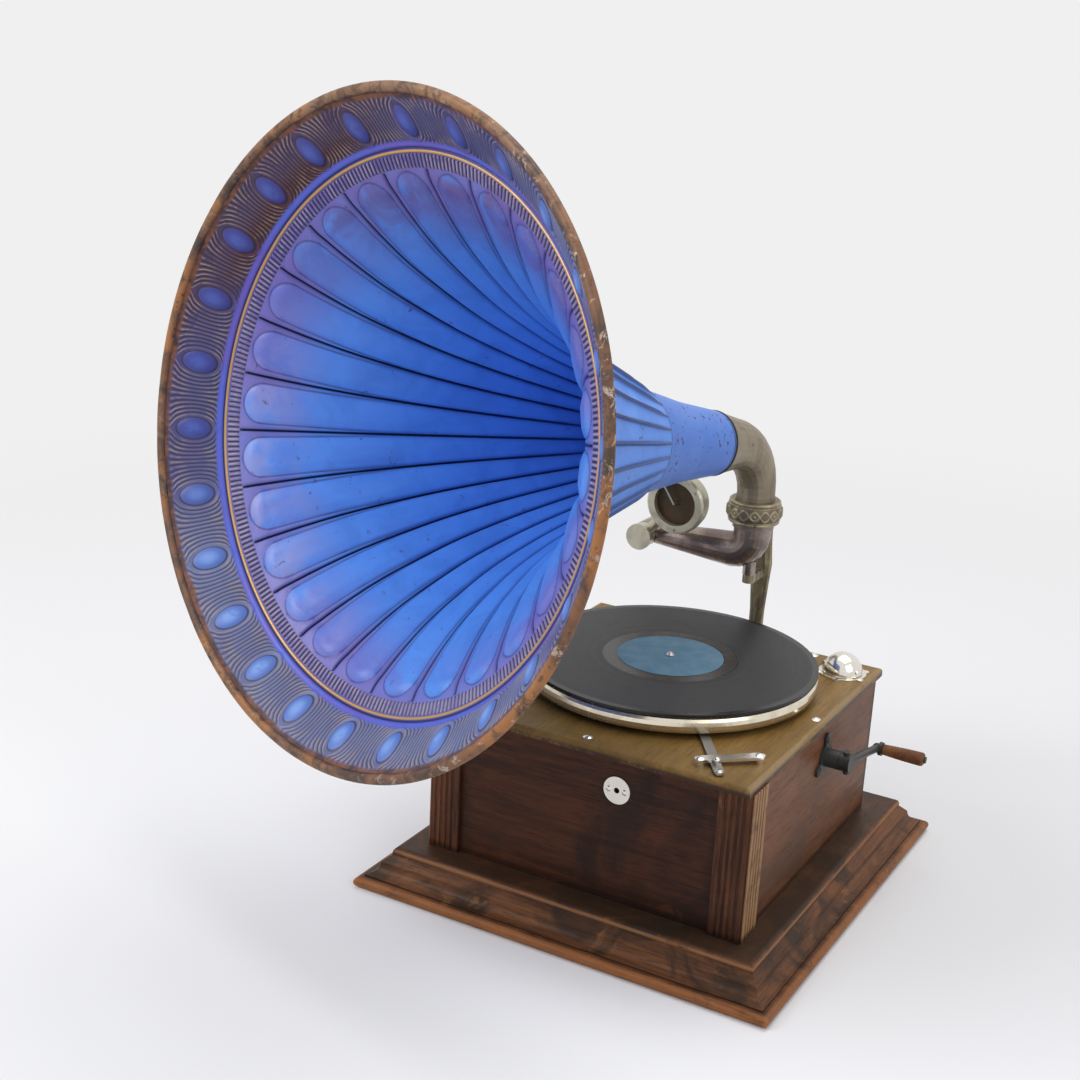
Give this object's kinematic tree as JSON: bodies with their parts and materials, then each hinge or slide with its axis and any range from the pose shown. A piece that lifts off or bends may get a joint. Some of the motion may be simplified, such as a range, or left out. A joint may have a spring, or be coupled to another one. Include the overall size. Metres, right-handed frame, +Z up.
{
  "type": "horn gramophone",
  "caption": "Table gramophone with a wooden case, winding crank, record turntable, swinging tone arm and a large petalled horn on a rear bracket.",
  "frame": {"origin": "centre of the underside of the base board", "axes": "+X to the crank side, +Y to the back where the horn bracket stands, +Z up"},
  "size_m": [0.5691, 0.5662, 0.6646],
  "materials": {
    "case_wood": "polished dark red-brown wood, worn",
    "base_wood": "polished orange-brown wood, worn through in places",
    "board_wood": "polished golden-brown wood",
    "pilaster_wood": "polished red-brown wood, pale at the worn edges",
    "bright_nickel": "polished nickel plate",
    "dull_nickel": "dull nickel plate",
    "black_iron": "black paint on iron",
    "grip_wood": "turned wood, oiled",
    "steel": "turned steel, oiled",
    "brass": "cut brass",
    "felt": "dark green felt",
    "shellac": "glossy black, grooved",
    "label_paper": "matt teal paper, bare",
    "pad_leather": "brown leather",
    "bracket_metal": "aged, darkened plating with bright worn relief",
    "elbow_metal": "aged greenish-grey nickel plate",
    "arm_nickel": "aged nickel plate with a warm tone",
    "soundbox_nickel": "aged nickel plate",
    "gasket_rubber": "black rubber",
    "diaphragm_brown": "brown varnished disc",
    "horn_enamel": "blue and purple enamel with a brown patina",
    "rim_copper": "worn copper-brown paint"
  },
  "bodies": {
    "case": {"base_board": "base_wood", "plinth_front": "base_wood", "plinth_back": "base_wood", "plinth_left": "base_wood", "plinth_right": "base_wood", "case_front": "case_wood", "case_back": "case_wood", "case_left": "case_wood", "case_right": "case_wood", "pilaster_left": "pilaster_wood", "pilaster_right": "pilaster_wood", "motor_board": "board_wood", "lock_plate": "bright_nickel", "nickel_screws": "bright_nickel", "iron_screws": "black_iron", "crank_escutcheon": "black_iron", "motor_bedplate": "black_iron", "motor_lower_plate": "black_iron", "motor_pillars": "steel", "motor_hangers": "steel", "governor_brake": "brass", "brake_guide": "bright_nickel", "brake_pivot": "bright_nickel", "needle_cup": "bright_nickel", "back_bracket": "bracket_metal"},
    "platter": {"turntable": "bright_nickel", "turntable_felt": "felt", "turntable_spindle": "steel", "record": "shellac", "record_label": "label_paper"},
    "intermediate": {"intermediate_wheel": "brass"},
    "barrel": {"spring_barrel": "brass", "mainspring": "steel"},
    "governor": {"governor_shaft": "steel", "governor_weights": "brass"},
    "crank": {"winding_shaft": "steel", "crank_arm": "black_iron"},
    "grip": {"crank_grip": "grip_wood"},
    "arbor": {"barrel_arbor": "steel"},
    "click": {"winding_click": "brass"},
    "brake": {"brake_lever": "dull_nickel", "brake_pad": "pad_leather", "brake_knob": "bright_nickel"},
    "lid": {"cup_lid": "bright_nickel"},
    "arm": {"tone_arm": "arm_nickel"},
    "soundbox": {"soundbox_swivel": "arm_nickel", "soundbox_back": "soundbox_nickel", "soundbox_gasket": "gasket_rubber", "soundbox_ring": "soundbox_nickel", "diaphragm": "diaphragm_brown", "stylus_bar": "bright_nickel", "needle": "bright_nickel"},
    "thumb_screw": {"needle_screw": "bright_nickel"},
    "horn": {"elbow": "elbow_metal", "horn_gasket": "gasket_rubber", "horn_throat": "horn_enamel", "horn_bell": "horn_enamel", "horn_rim": "rim_copper"}
  },
  "joints": [
    {"name": "platter_spin", "type": "hinge", "parent": "case", "child": "platter", "pos_m": [-0.0024, 0.00445, 0.19], "axis": [0, 0, 1], "continuous": true},
    {"name": "intermediate_spin", "type": "hinge", "parent": "case", "child": "intermediate", "pos_m": [0.02762, -0.01543, 0.1], "axis": [0, 0, 1], "continuous": true},
    {"name": "barrel_spin", "type": "hinge", "parent": "case", "child": "barrel", "pos_m": [0.0566, 0.01545, 0.1], "axis": [0, 0, 1], "continuous": true},
    {"name": "governor_spin", "type": "hinge", "parent": "case", "child": "governor", "pos_m": [-0.0282, -0.03, 0.1275], "axis": [0, 1, 0], "continuous": true},
    {"name": "crank_turn", "type": "hinge", "parent": "case", "child": "crank", "pos_m": [0.1591, 0.01545, 0.1305], "axis": [1, 0, 0], "continuous": true},
    {"name": "arbor_spin", "type": "hinge", "parent": "case", "child": "arbor", "pos_m": [0.0566, 0.01545, 0.12], "axis": [0, 0, 1], "continuous": true},
    {"name": "grip_spin", "type": "hinge", "parent": "crank", "child": "grip", "pos_m": [0.175, 0.09944, 0.11203], "axis": [1, 0, 0], "continuous": true},
    {"name": "click_lift", "type": "hinge", "parent": "case", "child": "click", "pos_m": [0.0881, 0.03545, 0.1345], "axis": [-1, 0, 0], "range_deg": [0, 20]},
    {"name": "brake_swing", "type": "hinge", "parent": "case", "child": "brake", "pos_m": [0.0599, -0.06855, 0.1708], "axis": [0, 0, 1], "range_deg": [0, 16]},
    {"name": "cup_lid_open", "type": "hinge", "parent": "case", "child": "lid", "pos_m": [0.09865, 0.11883, 0.1723], "axis": [-0.4226, -0.9063, 0], "range_deg": [0, 100]},
    {"name": "arm_swing", "type": "hinge", "parent": "case", "child": "arm", "pos_m": [0, 0.1625, 0.243], "axis": [0, 0, 1], "range_deg": [-15, 65]},
    {"name": "soundbox_fold", "type": "hinge", "parent": "arm", "child": "soundbox", "pos_m": [-0.1045, 0.1395, 0.243], "axis": [0, -1, 0], "range_deg": [0, 142.1]},
    {"name": "needle_screw_turn", "type": "hinge", "parent": "soundbox", "child": "thumb_screw", "pos_m": [-0.08304, 0.1275, 0.31308], "axis": [0.8231, 0, 0.5678], "continuous": true},
    {"name": "horn_swivel", "type": "hinge", "parent": "case", "child": "horn", "pos_m": [0, 0.1625, 0.293], "axis": [0, 0, 1], "range_deg": [-90, 90]}
  ],
  "couplings": [
    {"joint": "intermediate_spin", "follows": "platter_spin", "ratio": -0.2},
    {"joint": "barrel_spin", "follows": "platter_spin", "ratio": 0.033333},
    {"joint": "governor_spin", "follows": "platter_spin", "ratio": 12},
    {"joint": "arbor_spin", "follows": "crank_turn", "ratio": 0.5}
  ]
}
